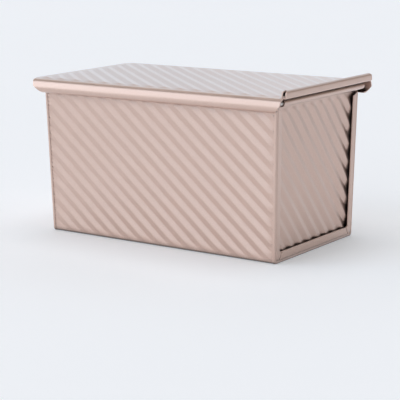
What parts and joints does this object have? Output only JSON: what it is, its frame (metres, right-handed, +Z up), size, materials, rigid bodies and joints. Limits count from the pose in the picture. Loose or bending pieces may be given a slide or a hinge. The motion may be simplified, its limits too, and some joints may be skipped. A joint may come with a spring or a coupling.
{
  "type": "pullman loaf pan",
  "caption": "Corrugated sheet-steel loaf pan with a wired rim, locked end seams and a ribbed lid that slides on along the rim.",
  "frame": {"origin": "middle of the pan's underside, at the surface it stands on", "axes": "+X along the pan towards the lid's lip, +Y towards the back wall, +Z up"},
  "size_m": [0.2134, 0.1234, 0.1162],
  "materials": {
    "coated_steel": "satin champagne non-stick coating",
    "rim_wire": "drawn steel wire"
  },
  "bodies": {
    "pan": {"pan_wrap": "coated_steel", "right_end_panel": "coated_steel", "left_end_panel": "coated_steel", "rim_wire": "rim_wire"},
    "lid": {"lid": "coated_steel"}
  },
  "joints": [
    {"name": "lid_slide", "type": "slide", "parent": "pan", "child": "lid", "axis": [1, 0, 0], "range_m": [0, 0.212]}
  ]
}
